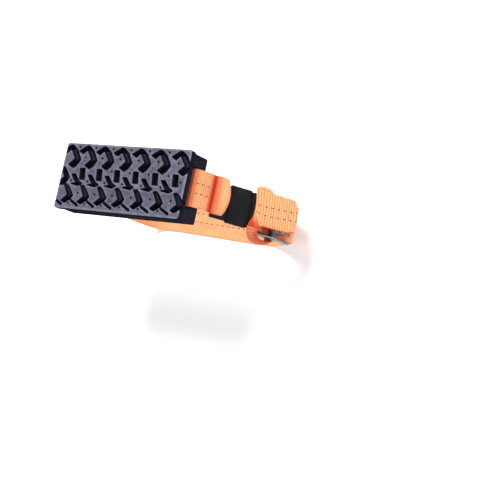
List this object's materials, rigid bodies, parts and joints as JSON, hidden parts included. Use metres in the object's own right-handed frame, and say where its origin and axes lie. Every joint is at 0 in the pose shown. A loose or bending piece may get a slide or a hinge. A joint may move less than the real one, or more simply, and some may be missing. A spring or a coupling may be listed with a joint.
{
  "type": "strap-on tyre traction block",
  "caption": "Rubber tread block on a webbing loop that straps round a tyre through the wheel and closes in a sprung cam buckle.",
  "frame": {"origin": "middle of the block's flat face that bears on the tyre", "axes": "+Z out of the tread, +X along the block towards the buckle, +Y across the webbing"},
  "size_m": [0.2834, 0.088, 0.199],
  "materials": {
    "block_rubber": "moulded matte rubber",
    "orange_webbing": "woven polyester with a soft sheen",
    "black_webbing": "woven polyester",
    "sleeve_fabric": "tubular woven nylon",
    "orange_thread": "bonded thread",
    "black_thread": "bonded thread",
    "plated_steel": "zinc plated, lightly worn",
    "cast_zinc": "cast, tumbled",
    "spring_steel": "oiled wire"
  },
  "bodies": {
    "strapped_block": {"traction_block": "block_rubber", "long_strap": "orange_webbing", "strap_tail": "orange_webbing", "buckle_strap": "black_webbing", "hem_stitches": "orange_thread", "loop_stitches": "black_thread", "tail_stitches": "orange_thread", "buckle_frame": "plated_steel", "anchor_bar": "plated_steel", "cam_pin": "plated_steel"},
    "sleeve": {"wear_sleeve": "sleeve_fabric"},
    "cam": {"cam_lever": "cast_zinc", "cam_spring_upper": "spring_steel", "cam_spring_lower": "spring_steel"}
  },
  "joints": [
    {"name": "cam_press", "type": "hinge", "parent": "strapped_block", "child": "cam", "pos_m": [0.1583, -0.006, -0.08992], "axis": [0, 1, 0], "range_deg": [0, 16], "stiffness_Nm_per_rad": 0.8, "springref_deg": -17.19},
    {"name": "sleeve_slide", "type": "slide", "parent": "strapped_block", "child": "sleeve", "axis": [0.5, 0, -0.866], "range_m": [-0.0025, 0.003]}
  ]
}
